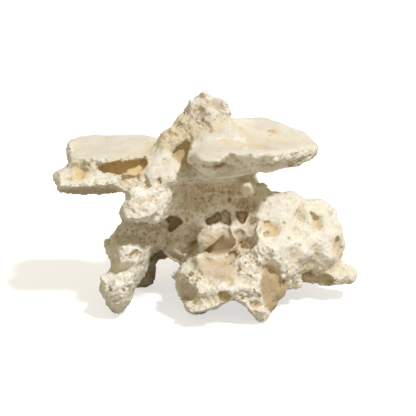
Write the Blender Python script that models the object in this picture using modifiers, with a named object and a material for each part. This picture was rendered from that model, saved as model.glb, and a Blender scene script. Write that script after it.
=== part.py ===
"""Dry reef rock: one piece of porous limestone with a thin shelf on its left, a tongue-shaped
plate over its right, a peak between them, and the feet that it stands on.

Blender 4.5. Sizes are in millimetres here and in metres in the scene, with +Z up and +Y
away from the side that is mostly seen. Uneven lumps and limbs are fused by a voxel remesh,
hollowed by cutters and roughened into knobs. The smoother plates are then joined to them,
and the whole is brought down to plain facets and cut flat where its feet meet the ground.
"""

import math

import bmesh
import bpy
from mathutils import Euler, Matrix, Vector, noise

MM = 0.001

# Driving dimensions, in millimetres
FUSE_VOXEL = 2.4
FACETS = 9600
PLATE_GRAIN = 16
PLATE_RELIEF = 2.5
SWELL_GRAIN = 24
SWELL_RELIEF = 5
KNOB_GRAIN = 13
KNOB_RELIEF = 6
GROUND_SIZE = 400
GROUND_DEPTH = 40

NAME = "reef_rock"
STONE_COLOUR = (0.74, 0.66, 0.51, 1)
STONE_ROUGHNESS = 0.95


# Uneven shapes


def add_lump(body, centre, radii, turn=(0, 0, 0), rough=0.2, seed=0.0):
    """An ellipsoid with an uneven skin. turn is in degrees about X, Y and Z."""
    made = bmesh.ops.create_icosphere(body, subdivisions=3, radius=1)["verts"]
    spin = Euler([math.radians(a) for a in turn]).to_matrix().to_4x4()
    place = Matrix.Translation(centre) @ spin
    shift = Vector((seed * 3.7, seed * 1.9, seed * 5.3 + centre[0] * 0.11))
    for vert in made:
        swell = 1 + rough * noise.fractal(vert.co * 1.4 + shift, 1.0, 2.1, 3)
        vert.co = place @ Vector(c * r * swell for c, r in zip(vert.co, radii))


def add_limb(body, stations, rough=0.16, seed=0.0):
    """A row of lumps that follows its stations, each (x, y, z, radius)."""
    for start, end in zip(stations, stations[1:]):
        a, b = Vector(start[:3]), Vector(end[:3])
        steps = max(2, round((b - a).length / (0.45 * min(start[3], end[3]))))
        for i in range(steps + 1):
            t = i / steps
            radius = start[3] + (end[3] - start[3]) * t
            add_lump(body, a.lerp(b, t), (radius,) * 3, rough=rough, seed=seed + t)


def add_block(body, centre, halves, turn):
    """A plain block, turned by so many degrees about Z."""
    made = bmesh.ops.create_cube(body, size=2)["verts"]
    place = Matrix.Translation(centre) @ Matrix.Rotation(math.radians(turn), 4, "Z")
    for vert in made:
        vert.co = place @ Vector(c * h for c, h in zip(vert.co, halves))


def smooth_loop(points, steps=6):
    """Points on a closed smooth curve through the given ones."""
    count = len(points)
    out = []
    for i in range(count):
        p0, p1, p2, p3 = (Vector(points[(i + k) % count]) for k in (-1, 0, 1, 2))
        for s in range(steps):
            t = s / steps
            out.append(
                0.5 * (2 * p1 + (p2 - p0) * t + (2 * p0 - 5 * p1 + 4 * p2 - p3) * t**2
                       + (3 * p1 - p0 - 3 * p2 + p3) * t**3)
            )
    return out


def add_plate(body, rim, hub, rings):
    """A shelf with an outline rim of (x, y, z) points, made of rings that shrink towards hub.
    Each ring is (share of the outline, height over the rim)."""
    outline = smooth_loop(rim)
    hub = Vector(hub)
    rows = []
    for share, height in rings:
        rows.append([body.verts.new(hub.lerp(p, share) + Vector((0, 0, height))) for p in outline])
    count = len(outline)
    for upper, lower in zip(rows, rows[1:]):
        for i in range(count):
            j = (i + 1) % count
            body.faces.new((upper[i], lower[i], lower[j], upper[j]))
    body.faces.new(rows[0])
    body.faces.new(reversed(rows[-1]))


# The rock's own forms


def add_trunk(body):
    add_lump(body, (-4, 6, 112), (44, 40, 46), seed=1)
    add_lump(body, (14, 4, 122), (28, 34, 38), rough=0.12, seed=2)
    add_lump(body, (-22, 5, 130), (30, 32, 34), seed=3)
    add_lump(body, (0, 30, 88), (52, 42, 44), seed=4)
    add_lump(body, (10, -18, 98), (36, 23, 28), rough=0.1, seed=5)
    add_lump(body, (-34, 30, 64), (28, 28, 28), seed=6)
    add_lump(body, (-22, -14, 72), (24, 17, 27), rough=0.08, seed=6.1)
    add_lump(body, (6, -12, 64), (42, 26, 28), rough=0.1, seed=6.5)
    add_lump(body, (28, -13, 116), (20, 18, 28), rough=0.1, seed=6.55)
    add_limb(body, [(34, 8, 116, 16), (50, 6, 112, 15), (68, 4, 99, 15), (86, 6, 94, 15)], seed=6.6)


def add_brackets(body):
    """The rounded bracket at the foot of the trunk's face, and the small one beside it."""
    add_lump(body, (14, -40, 82), (20, 15, 16), rough=0.06, seed=6.2)
    add_lump(body, (34, -37, 82), (10, 12, 12), rough=0.1, seed=6.3)
    add_lump(body, (46, -28, 88), (10, 14, 14), rough=0.1, seed=6.7)
    add_lump(body, (38, -29, 127), (7, 8, 9), rough=0.1, seed=6.4)


def add_peak(body):
    add_lump(body, (6, 6, 187), (19, 20, 24), seed=7)
    add_lump(body, (12, 4, 193), (13, 14, 16), seed=8)
    add_lump(body, (1, 2, 202), (10, 12, 13), seed=9)
    add_lump(body, (-8, 2, 199), (10, 12, 12), seed=9.5)
    add_lump(body, (-15, 6, 179), (17, 20, 18), seed=10)
    add_lump(body, (-31, 0, 164), (17, 20, 17), seed=11)
    add_lump(body, (14, -16, 172), (27, 20, 14), seed=11.5)
    add_lump(body, (2, 24, 170), (30, 24, 22), seed=11.7)


def add_buttress(body):
    add_limb(body, [(-36, -8, 157, 15), (-46, -24, 142, 14), (-58, -34, 128, 14)], seed=12)
    add_lump(body, (-67, -42, 118), (17, 16, 18), seed=12.5)
    add_lump(body, (-75, -40, 111), (10, 12, 11), seed=12.7)
    add_lump(body, (-52, -38, 116), (18, 16, 18), seed=13)
    add_lump(body, (-34, -24, 126), (22, 20, 28), seed=14)


def add_plate_right(body):
    rim = [
        (113, 10, 159), (98, -12, 162), (76, -32, 163), (50, -48, 164), (30, -54, 164),
        (12, -66, 163), (-6, -66, 164), (-18, -52, 167), (-15, -28, 174), (2, -2, 182),
        (26, 14, 187), (52, 30, 184), (78, 34, 176), (102, 27, 168),
    ]
    rings = [
        (0.35, 0), (0.7, 1), (0.9, 3), (0.98, 2), (1.0, -5),
        (0.96, -12), (0.8, -18), (0.5, -26), (0.25, -38),
    ]
    add_plate(body, rim, (20, -12, 178), rings)
    under_rim = [(-12, -58, 157, 7), (6, -58, 152, 9), (26, -50, 150, 9), (46, -40, 151, 6)]
    add_limb(body, under_rim, seed=14.5)


def add_shelf_left(body):
    rim = [
        (-136, -4, 155), (-137, -22, 154), (-112, -28, 155), (-84, -27, 155), (-56, -24, 154),
        (-34, -10, 156), (-36, 16, 160), (-60, 36, 162), (-95, 38, 161), (-124, 34, 161),
        (-136, 18, 160),
    ]
    rings = [(0.4, 3), (0.8, 3), (0.96, 4), (1.0, 0), (0.97, -4), (0.6, -10)]
    add_plate(body, rim, (-84, 4, 158), rings)
    low_rim = [
        (-147, -16, 135), (-137, -36, 134), (-118, -39, 135), (-96, -39, 137), (-72, -36, 140),
        (-50, -14, 143), (-52, 12, 144), (-80, 26, 144), (-112, 24, 143), (-136, 8, 139),
    ]
    low_rings = [(0.4, 12), (0.7, 10), (0.88, 6), (1.0, 1), (0.96, -6), (0.78, -14), (0.4, -18)]
    add_plate(body, low_rim, (-92, -2, 141), low_rings)
    add_lump(body, (-137, -18, 135), (12, 17, 11), seed=15)
    add_lump(body, (-126, -8, 148), (9, 18, 10), seed=15.5)
    add_lump(body, (-109, -26, 149), (6, 7, 6), seed=15.7)


def add_leg_left(body):
    front_leg = [
        (-52, 6, 84, 22), (-68, -8, 66, 20), (-74, -18, 48, 17), (-79, -26, 33, 14), (-86, -32, 22, 12),
    ]
    add_limb(body, front_leg, seed=16)
    add_lump(body, (-94, -2, 58), (10, 15, 12), seed=17)
    add_lump(body, (-87, -4, 68), (9, 14, 11), seed=17.5)
    add_lump(body, (-93, -33, 27), (13, 12, 12), seed=18)
    add_lump(body, (-87, -34, 10), (9, 9, 14), seed=19)
    add_lump(body, (-79, -31, 22), (10, 11, 14), seed=19.5)
    add_limb(body, [(-44, 32, 60, 22), (-63, 35, 36, 15), (-66, 32, 10, 14)], seed=20)


def add_lobe_front(body):
    add_lump(body, (16, -44, 39), (42, 28, 23), seed=21)
    add_lump(body, (-4, -44, 37), (26, 24, 27), seed=22)
    add_lump(body, (-8, -38, 17), (17, 14, 16), seed=23)
    add_lump(body, (42, -48, 42), (24, 22, 26), seed=24)
    add_lump(body, (54, -36, 62), (20, 20, 22), seed=24.5)
    add_lump(body, (54, -55, 17), (10, 10, 20), seed=25)
    add_lump(body, (68, -38, 34), (18, 18, 20), seed=25.5)


def add_lobe_right(body):
    add_lump(body, (92, 12, 72), (42, 38, 35), seed=26)
    add_lump(body, (68, 2, 88), (35, 30, 27), seed=27)
    add_lump(body, (112, 8, 58), (30, 34, 33), seed=28)
    add_lump(body, (72, -20, 60), (32, 26, 28), seed=29)
    add_lump(body, (114, 12, 87), (18, 18, 15), seed=29.5)
    add_lump(body, (88, -20, 34), (14, 14, 14), seed=29.7)
    add_limb(body, [(108, 6, 37, 20), (128, 2, 28, 14), (147, 0, 27, 9)], seed=30)


def add_back(body):
    add_lump(body, (20, 62, 84), (46, 34, 46), seed=31)
    add_lump(body, (46, 76, 44), (32, 27, 34), rough=0.3, seed=32)
    add_lump(body, (50, 80, 14), (19, 16, 20), rough=0.35, seed=33)
    add_lump(body, (-12, 54, 128), (34, 28, 24), rough=0.3, seed=34)
    add_limb(body, [(-20, 60, 60, 18), (-27, 72, 40, 14), (-24, 78, 24, 10)], rough=0.3, seed=35)


def add_ledges_back(body):
    upper_rim = [
        (60, 62, 136), (50, 88, 130), (22, 106, 122), (-12, 98, 118), (-40, 76, 116), (-30, 52, 126),
        (40, 46, 138),
    ]
    upper_rings = [(0.4, 6), (0.8, 5), (0.97, 2), (1.0, -3), (0.85, -10), (0.5, -20)]
    add_plate(body, upper_rim, (10, 66, 126), upper_rings)
    low_rim = [
        (86, 44, 84), (90, 74, 72), (72, 100, 58), (48, 104, 52), (34, 78, 62), (56, 50, 78),
    ]
    low_rings = [(0.4, 5), (0.85, 4), (1.0, -1), (0.9, -8), (0.5, -18)]
    add_plate(body, low_rim, (60, 72, 68), low_rings)


KNOBBLY_FORMS = (
    add_trunk, add_brackets, add_peak, add_buttress, add_leg_left, add_lobe_front, add_lobe_right,
    add_back,
)
FLAT_FORMS = (add_plate_right, add_shelf_left, add_ledges_back)


# The hollows


def cut_shelf_hollows(body):
    add_lump(body, (-82, -34, 149), (24, 26, 6), rough=0.1, seed=41)
    add_lump(body, (-124, -38, 149), (7, 18, 6), rough=0.1, seed=42)


def cut_trunk_hollows(body):
    add_lump(body, (-23, -44, 161), (11, 20, 12), seed=40)
    add_lump(body, (-31, -38, 95), (11, 22, 8), seed=43)
    add_lump(body, (-42, -36, 92), (9, 16, 6), seed=43.5)
    add_lump(body, (8, -40, 101), (8, 12, 5), seed=44)
    add_lump(body, (20, -40, 104), (8, 12, 8), seed=44.5)
    add_lump(body, (37, -34, 103), (7, 14, 8), seed=45)
    add_lump(body, (-8, -12, 208), (7, 8, 6), seed=46)
    add_lump(body, (-12, -18, 190), (8, 8, 6), seed=46.5)


def cut_right_hollows(body):
    add_lump(body, (67, -34, 88), (6, 10, 9), seed=47)
    add_lump(body, (95, -14, 96), (6, 9, 10), turn=(0, 35, 0), seed=48)
    add_lump(body, (113, -20, 86), (6, 12, 10), seed=49)
    add_lump(body, (136, -18, 60), (9, 14, 13), seed=50)
    add_lump(body, (110, -28, 32), (20, 14, 8), seed=51)
    add_block(body, (90, -59, 36), (20, 24, 40), -40)


def cut_back_hollows(body):
    add_lump(body, (2, 100, 96), (26, 18, 14), seed=52)
    add_lump(body, (78, 74, 74), (16, 14, 14), seed=53)
    add_lump(body, (10, 92, 20), (18, 26, 22), seed=54)
    add_lump(body, (-74, 34, 110), (18, 22, 12), seed=55)
    add_lump(body, (96, 52, 24), (22, 20, 18), seed=56)


HOLLOWS = (cut_trunk_hollows, cut_right_hollows, cut_back_hollows)
FLAT_HOLLOWS = (cut_shelf_hollows,)


def add_ground(body):
    """A block whose top is the ground, which cuts the feet flat."""
    add_block(body, (0, 0, -GROUND_DEPTH / 2), (GROUND_SIZE / 2, GROUND_SIZE / 2, GROUND_DEPTH / 2), 0)


# From shapes to one solid


def build_solid(name, makers, collection):
    body = bmesh.new()
    for make in makers:
        make(body)
    bmesh.ops.scale(body, vec=(MM, MM, MM), verts=body.verts)
    bmesh.ops.recalc_face_normals(body, faces=body.faces)
    mesh = bpy.data.meshes.new(name)
    body.to_mesh(mesh)
    body.free()
    solid = bpy.data.objects.new(name, mesh)
    collection.objects.link(solid)
    return solid


def hide_cutter(cutter):
    cutter.hide_render = True
    cutter.display_type = "WIRE"


def fuse(solid, name):
    step = solid.modifiers.new(name, "REMESH")
    step.mode = "VOXEL"
    step.voxel_size = FUSE_VOXEL * MM


def carve(solid, name, cutter):
    step = solid.modifiers.new(name, "BOOLEAN")
    step.operation = "DIFFERENCE"
    step.object = cutter


def join(solid, name, other):
    step = solid.modifiers.new(name, "BOOLEAN")
    step.operation = "UNION"
    step.object = other


def soften(solid, times):
    step = solid.modifiers.new("soften", "SMOOTH")
    step.factor = 0.5
    step.iterations = times


def roughen(solid, name, kind, grain, depth):
    """Moves the skin in and out by a noise of the given kind, grain and depth."""
    pattern = bpy.data.textures.new(name, kind)
    pattern.noise_scale = grain * MM
    step = solid.modifiers.new(name, "DISPLACE")
    step.texture = pattern
    step.texture_coords = "LOCAL"
    step.strength = depth * MM
    step.mid_level = 0.5


def thin_to_facets(solid):
    """Leaves about FACETS triangles, the most where the skin bends."""
    bpy.context.view_layer.update()
    fine = solid.evaluated_get(bpy.context.evaluated_depsgraph_get()).data
    fine.calc_loop_triangles()
    step = solid.modifiers.new("plain facets", "DECIMATE")
    step.ratio = FACETS / len(fine.loop_triangles)
    step.use_collapse_triangulate = True


def centre_over_origin(solid, stand):
    """Moves the stand so that the solid's own box is centred on the origin, seen from above."""
    bpy.context.view_layer.update()
    points = [v.co for v in solid.evaluated_get(bpy.context.evaluated_depsgraph_get()).data.vertices]
    for axis in (0, 1):
        values = [p[axis] for p in points]
        stand.location[axis] = -(min(values) + max(values)) / 2
    bpy.context.view_layer.update()


def stone_material():
    stone = bpy.data.materials.new("dry reef rock")
    stone.use_nodes = True
    skin = stone.node_tree.nodes["Principled BSDF"]
    skin.inputs["Base Color"].default_value = STONE_COLOUR
    skin.inputs["Roughness"].default_value = STONE_ROUGHNESS
    skin.inputs["Metallic"].default_value = 0
    return stone


def main():
    for old in list(bpy.data.objects):
        bpy.data.objects.remove(old)
    rock_parts = bpy.data.collections.new("reef rock")
    cutters = bpy.data.collections.new("cutters")
    bpy.context.scene.collection.children.link(rock_parts)
    bpy.context.scene.collection.children.link(cutters)

    rock = build_solid(NAME, KNOBBLY_FORMS, rock_parts)
    hollows = build_solid("hollows", HOLLOWS, cutters)
    plates = build_solid("plates", FLAT_FORMS, cutters)
    plate_hollows = build_solid("plate hollows", FLAT_HOLLOWS, cutters)
    ground = build_solid("ground", (add_ground,), cutters)
    stand = bpy.data.objects.new("stand", None)
    rock_parts.objects.link(stand)
    for child in (rock, hollows, plates, plate_hollows, ground):
        child.parent = stand
    for cutter in (hollows, plates, plate_hollows, ground):
        hide_cutter(cutter)

    fuse(hollows, "fuse")
    fuse(plates, "fuse")
    soften(plates, 2)
    roughen(plates, "uneven plates", "CLOUDS", PLATE_GRAIN, PLATE_RELIEF)
    fuse(rock, "fuse lumps")
    carve(rock, "carve hollows", hollows)
    fuse(rock, "fuse carved rock")
    soften(rock, 3)
    roughen(rock, "swells", "CLOUDS", SWELL_GRAIN, SWELL_RELIEF)
    roughen(rock, "knobs", "VORONOI", KNOB_GRAIN, KNOB_RELIEF)
    join(rock, "join plates", plates)
    carve(rock, "carve plates", plate_hollows)
    fuse(rock, "fuse plates")
    soften(rock, 2)
    thin_to_facets(rock)
    carve(rock, "cut the feet flat", ground)
    rock.data.materials.append(stone_material())
    centre_over_origin(rock, stand)


main()
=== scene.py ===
"""Dry reef rock: one chalky, porous stone with a thin shelf, an overhanging plate, a peak and feet.

Blender 4.5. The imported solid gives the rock's main forms. A copy of it is fused into a fine skin.
Patches of the skin are pressed, pulled and shifted. Slots and cavities are cut out of it, nubs, lips
and layers are added to it, and then it is crumbled and pitted, each region in its own way.
One stone material is built from nodes.

Places on the front are given as they are read from the photograph, in its pixels, x to the right
and y down: a ray from the camera finds what part of the rock lies there. A pixel is a millimetre
on the view's middle plane, and all other sizes are in millimetres.
"""

import math

import bmesh
import bpy
import numpy as np
from mathutils import Matrix, Vector
from mathutils.bvhtree import BVHTree


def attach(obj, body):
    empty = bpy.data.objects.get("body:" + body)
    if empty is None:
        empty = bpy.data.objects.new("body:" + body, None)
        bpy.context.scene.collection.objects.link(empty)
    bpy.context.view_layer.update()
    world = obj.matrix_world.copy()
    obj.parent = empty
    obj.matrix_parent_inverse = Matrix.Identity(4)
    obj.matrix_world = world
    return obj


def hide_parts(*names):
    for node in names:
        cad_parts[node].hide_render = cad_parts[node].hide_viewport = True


MM = 0.001

# The view of the photograph
PHOTO_SIDE = 416
PHOTO_MIDDLE = PHOTO_SIDE / 2
VIEW_DISTANCE = 1.2
VIEW_ELEVATION = math.radians(20)
AIM = Vector((-0.0002, -0.0165, 0.0984))
RIGHT = Vector((1, 0, 0))
UP = Vector((0, math.sin(VIEW_ELEVATION), math.cos(VIEW_ELEVATION)))
AWAY = Vector((0, math.cos(VIEW_ELEVATION), -math.sin(VIEW_ELEVATION)))
EYE = AIM - AWAY * VIEW_DISTANCE
LIGHT_FROM = Vector((0.40, -0.37, 0.84))
NEAR_PLANE = VIEW_DISTANCE - 150 * MM
FILLING_THICKNESS = 30

# How finely the rock is worked
BASE_VOXEL = 1.6 * MM
GIVEN_BACK = 0.9 * MM
FINE_VOXEL = 0.95 * MM
MOST_TRIANGLES = 190000

# How far a patch reaches along the view, before and behind its middle
PATCH_DEPTH = 22
PULLED_DEPTH = 30

# How far the skin may turn away from the camera, where 1 faces it and -1 faces away: in a patch, under
# a line, and the range in which it becomes unseen
LEAST_FACING = -0.15
LINE_FACING = -0.3
UNSEEN = (-0.2, 0.1)


# Plain steps of work


def only(*chosen):
    if bpy.context.object and bpy.context.object.mode != "OBJECT":
        bpy.ops.object.mode_set(mode="OBJECT")
    bpy.ops.object.select_all(action="DESELECT")
    for obj in chosen:
        obj.select_set(True)
    bpy.context.view_layer.objects.active = chosen[0]


def finish_with(obj, kind, **values):
    """Adds a modifier of that kind with those values and applies it."""
    step = obj.modifiers.new(kind.lower(), kind)
    for name, value in values.items():
        setattr(step, name, value)
    only(obj)
    bpy.ops.object.modifier_apply(modifier=step.name)


def fuse(obj, voxel):
    """Makes one closed skin of all that the object holds."""
    finish_with(obj, "REMESH", mode="VOXEL", voxel_size=voxel, use_smooth_shade=True)


def soften(obj, times):
    finish_with(obj, "SMOOTH", factor=0.5, iterations=times)


def join_all(objects, name):
    only(*objects)
    bpy.ops.object.join()
    joined = bpy.context.object
    joined.name = joined.data.name = name
    return joined


def remove(obj):
    only(obj)
    bpy.ops.object.delete()


# Places read from the photograph


def photo_ray(x, y):
    """The direction from the camera to what the photograph shows at x, y."""
    seen = AIM + RIGHT * (x - PHOTO_MIDDLE) * MM + UP * (PHOTO_MIDDLE - y) * MM
    return (seen - EYE).normalized()


def spot(x, y):
    """The point of the rock that the photograph shows at x, y, or the nearest to its ray."""
    way = photo_ray(x, y)
    place = skin_tree.ray_cast(EYE, way)[0]
    if place is None:
        place = EYE + way * VIEW_DISTANCE
        for _ in range(6):
            near = skin_tree.find_nearest(place)[0]
            place = EYE + way * (near - EYE).dot(way)
    return place


def middle(outline):
    """The mean of an outline's points."""
    return tuple(sum(p[i] for p in outline) / len(outline) for i in (0, 1))


# Forms that are added or cut


def view_frame(place, turn):
    """A frame at a place with X to the photograph's right, Y up and Z towards the camera."""
    axes = Matrix((RIGHT, UP, -AWAY)).transposed().to_4x4()
    return Matrix.Translation(place) @ axes @ Matrix.Rotation(math.radians(turn), 4, "Z")


def add_lump(x, y, wide, high, deep, turn=0, rise=0):
    """A rounded lump of so many millimetres at a place of the photograph, raised towards the camera."""
    bpy.ops.mesh.primitive_ico_sphere_add(subdivisions=3, radius=0.5)
    lump = bpy.context.object
    size = Matrix.Diagonal((wide * MM, high * MM, deep * MM, 1))
    lump.data.transform(view_frame(spot(x, y) - AWAY * rise * MM, turn) @ size)
    return lump


def add_bead(path, radius, rise=0):
    """A thin raised ridge, or a groove where it is cut, along a path of the photograph."""
    curve = bpy.data.curves.new("bead", "CURVE")
    curve.dimensions = "3D"
    curve.bevel_depth = radius * MM
    curve.bevel_resolution = 2
    curve.use_fill_caps = True
    line = curve.splines.new("POLY")
    places = []
    for (ax, ay), (bx, by) in zip(path, path[1:]):
        steps = max(1, round(math.hypot(bx - ax, by - ay) / 1.5))
        places += [spot(ax + (bx - ax) * i / steps, ay + (by - ay) * i / steps) for i in range(steps)]
    places.append(spot(*path[-1]))
    line.points.add(len(places) - 1)
    for i, place in enumerate(places):
        line.points[i].co = (*(place - AWAY * rise * MM), 1)
        line.points[i].radius = 0.55 + 0.45 * math.sin(math.pi * i / (len(places) - 1))
    bead = bpy.data.objects.new("bead", curve)
    bpy.context.scene.collection.objects.link(bead)
    only(bead)
    bpy.ops.object.convert(target="MESH")
    return bpy.context.object


def plug(rows):
    """A closed solid from rings of points, the first and the last of them closed."""
    body = bmesh.new()
    rows = [[body.verts.new(place) for place in row] for row in rows]
    count = len(rows[0])
    for upper, lower in zip(rows, rows[1:]):
        for i in range(count):
            body.faces.new((upper[i], upper[(i + 1) % count], lower[(i + 1) % count], lower[i]))
    for ring in (rows[0], rows[-1]):
        hub = body.verts.new(sum((v.co for v in ring), Vector()) / count)
        for i in range(count):
            body.faces.new((ring[i], ring[(i + 1) % count], hub))
    bmesh.ops.recalc_face_normals(body, faces=body.faces)
    mesh = bpy.data.meshes.new("plug")
    body.to_mesh(mesh)
    body.free()
    made = bpy.data.objects.new("plug", mesh)
    bpy.context.scene.collection.objects.link(made)
    return made


def at_depth(x, y, depth):
    """The point that the photograph shows at x, y, so many metres from the camera along its axis."""
    way = photo_ray(x, y)
    return EYE + way * (depth / way.dot(AWAY))


def add_pocket(outline, depth, floor_share=0.6, mouth=6):
    """A tapering plug whose outline is read from the photograph, which cuts a cavity so deep.
    It starts so far before the rock as its mouth says."""
    cx, cy = middle(outline)
    start = (spot(cx, cy) - EYE).dot(AWAY)
    rings = ((-mouth, 1.05), (0.25 * depth, 1), (0.75 * depth, 0.9), (depth, floor_share))
    rows = []
    for inward, share in rings:
        here = [(cx + (x - cx) * share, cy + (y - cy) * share) for x, y in outline]
        rows.append([at_depth(x, y, start + inward * MM) for x, y in here])
    return plug(rows)


def add_carving(outline):
    """A plug that cuts the rock back inside an outline of the photograph. The third number of each
    point is how far behind the view's middle plane the new surface lies there."""
    near = [at_depth(x, y, NEAR_PLANE) for x, y, _ in outline]
    return plug([near, [at_depth(x, y, VIEW_DISTANCE + behind * MM) for x, y, behind in outline]])


def add_filling(outline):
    """A plug that fills the rock out to the depths given as for a carving."""
    near = [at_depth(x, y, VIEW_DISTANCE + behind * MM) for x, y, behind in outline]
    rear = [at_depth(x, y, VIEW_DISTANCE + (behind + FILLING_THICKNESS) * MM) for x, y, behind in outline]
    return plug([near, rear])


# Large surfaces that are cut back: outline, with the depth of the new surface at each point
CARVED = [
    # the underside of the plate, from its scalloped crest back to its saucer-like rim
    [(186, 157, -66), (191, 158, -73), (196, 162, -75), (204, 165, -76), (212, 166, -76),
     (219, 165, -75), (225, 161, -77), (227, 156, -81), (230, 153, -81), (234, 155, -80),
     (237, 159, -76), (242, 160, -69), (248, 161, -65), (253, 163, -64), (258, 160, -62),
     (263, 160, -60), (269, 163, -57), (273, 165, -54), (279, 161, -52), (285, 159, -48),
     (290, 162, -44), (298, 159, -39), (306, 157, -31), (316, 153, -21), (322, 156, -15),
     (312, 164, -22), (294, 172, -32), (268, 178, -42), (258, 186, -46), (240, 187, -50),
     (226, 188, -52), (214, 189, -53), (203, 188, -52), (192, 184, -52), (184, 176, -53),
     (181, 166, -56)],
    # the dark underside of the shelf
    [(54, 190, -38), (62, 188, -41), (72, 188.5, -42), (84, 187, -43), (96, 187.5, -43), (108, 187, -43),
     (118, 189, -42), (126, 193, -40), (118, 200, -25), (100, 202, -24), (80, 204, -24), (60, 200, -24)],
    # the smooth facet beside the right foot
    [(264, 264, -42), (272, 266, -36), (279, 275, -29), (286, 287, -21), (292, 294, -18), (282, 306, -22),
     (273, 317, -26), (266, 308, -31), (262, 297, -36), (261, 282, -42)],
    # the shaded recess at the left of the front lobe
    [(168, 283, -8), (176, 280, -24), (183, 282, -33), (188, 281, -38), (191, 286, -42), (196, 289, -44),
     (197, 297, -42), (191, 300, -34), (184, 299, -24), (170, 297, -6)],
    # the ground of the dish and the curled lobe below the cavities
    [(193, 234, -19), (200, 227, -19), (214, 224, -20), (230, 223, -20), (238, 216, -20), (249, 203, -28),
     (255, 206, -31), (256, 226, -30), (254, 244, -29), (247, 253, -28), (236, 259, -26), (216, 261, -26),
     (202, 261, -26), (192, 250, -20)],
    # the curled lobe and the alcove beside it, which turn away from the light
    [(233, 228, -23), (243, 223, -30), (251, 222, -36), (257, 225, -42), (258, 243, -32), (250, 250, -22),
     (241, 249, -15), (238, 242, -18)],
    # the shelf's slot
    [(100, 168, -37), (104, 164.5, -34), (110, 162.5, -33), (118, 161, -33), (127, 161, -33),
     (136, 159.5, -32), (145, 160, -32), (148, 162, -34), (144, 168, -36), (140, 172, -37),
     (137, 175, -38), (126, 174, -37), (118, 175, -37), (109, 172, -37), (104, 171, -37)],
    # the shaded face's lower left
    [(167, 229, -9), (182, 224, -11), (199, 228, -9), (200, 244, 4), (192, 254, 8), (178, 253, 7),
     (167, 243, 3)],
    # the arch between the two feet of the front lobe
    [(180, 316, 60), (187, 315, 60), (200, 314, 60), (209, 311.5, 60), (216, 309, 60), (223, 304, 60),
     (229, 301, 60), (234, 299.5, 60), (239, 302, 60), (243, 304.5, 60), (250, 313, 60), (256, 319, 60),
     (260, 322, 60), (266, 321, 60), (270, 345, 60), (250, 348, 60), (230, 350, 60), (210, 348, 60),
     (190, 345, 60), (176, 340, 60)],
]

# Parts that are filled out: outline, with the depth of the new surface at each point
FILLED = [
    # the lower edge of the front lobe's left foot
    [(186, 301, -36), (192, 299, -41), (200, 296, -45), (212, 295, -48), (221, 299, -49),
     (222, 303, -51), (215, 308, -52), (208, 310.5, -51), (200, 312.5, -49), (190, 313.5, -46),
     (185, 309, -40), (184, 304, -37)],
    # and of its right foot
    [(233, 293, -47), (245, 293, -47), (256, 297, -43), (264, 302, -39), (268, 308, -35), (264, 317, -32),
     (259, 319, -32), (253, 314.5, -38), (247, 307, -44), (241, 302, -48), (235, 299, -49)],
    # the lower right edge of the right foot's facet
    [(269, 298, -25), (280, 298, -18), (277, 305, -19), (272, 311, -21), (268, 315, -24),
     (265, 308, -28)],
    # the bump under the shelf
    [(124, 206, -59), (138, 200, -62), (154, 203, -62), (158, 211, -64), (150, 218, -66), (138, 220, -66),
     (127, 219, -64), (122, 213, -60)],
]

# What is cut back after the forms have been added: outline, with the depth of the new surface
CARVED_LATE = [
    # the shaded lower right of the dish
    [(225, 229, -27), (231, 231, -30), (235, 240, -27), (233, 247, -20), (226, 252, -15), (217, 254, -11),
     (208, 253, -8), (204, 250, -7), (211, 246, -9), (220, 238, -17)],
]

# Patches that are pressed in, or pulled out where the depth is below zero: outline, depth, edge
PRESSED = [
    # the crest of the plate
    ([(191, 152), (202, 147), (222, 146), (245, 148), (268, 148), (292, 146), (306, 147), (298, 158),
      (275, 163), (262, 160), (250, 162), (232, 158), (219, 165), (204, 165), (192, 159)], -14, 5),
    # the left leg comes forward, lit, but for its wing and its waist
    ([(108, 250), (116, 240), (138, 240), (146, 252), (140, 268), (136, 284), (124, 312), (108, 306),
      (98, 280)], -20, 6),
    ([(96, 236), (106, 238), (112, 244), (114, 252), (116, 262), (110, 271), (102, 264)], 12, 2),
    ([(118, 244), (134, 242), (137, 262), (120, 264)], -7, 3),
    ([(110, 265), (122, 266), (134, 268), (136, 272), (112, 272)], 4, 3),
    # the shaded face stands further back
    ([(172, 188), (200, 182), (236, 184), (252, 196), (254, 224), (240, 231), (205, 230), (190, 230),
      (181, 210)], 17, 6),
    # its lower left part too, leaning over the recess
    ([(162, 232), (178, 226), (198, 229), (198, 250), (192, 266), (168, 264)], 14, 5),
    ([(165, 247), (190, 245), (200, 256), (192, 266), (170, 266)], 7, 6),
    # the tan hollow beside the plate
    ([(172, 153), (177, 147), (184, 143), (190, 142), (191, 153), (189, 160), (181, 165),
      (177, 161)], 4, 3),
    # the shelf's slot comes forward before it is cut
    ([(102, 164), (112, 160.5), (134, 159.5), (148, 161), (143, 169), (139, 175), (118, 175),
      (106, 171)], -14, 1.5),
    # the right lobe's lower part and the front lobe's foot are fuller
    ([(268, 244), (300, 240), (312, 254), (300, 264), (298, 282), (286, 280), (272, 262)], -9, 5),
    ([(186, 286), (215, 286), (250, 286), (266, 290), (268, 314), (256, 322), (243, 310), (230, 306),
      (212, 315), (188, 318)], -4, 4),
    # the right lobe's left edge stands over the alcove
    ([(256, 188), (268, 192), (274, 210), (272, 235), (266, 250), (256, 252)], -3, 6),
    # the shelf's lip and the spur lean back
    ([(58, 182), (90, 181), (120, 181), (122, 190), (90, 191), (60, 193)], -6, 3),
    ([(336, 273), (356, 274), (354, 284), (338, 287), (318, 288), (322, 280)], -6, 3),
]

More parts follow.
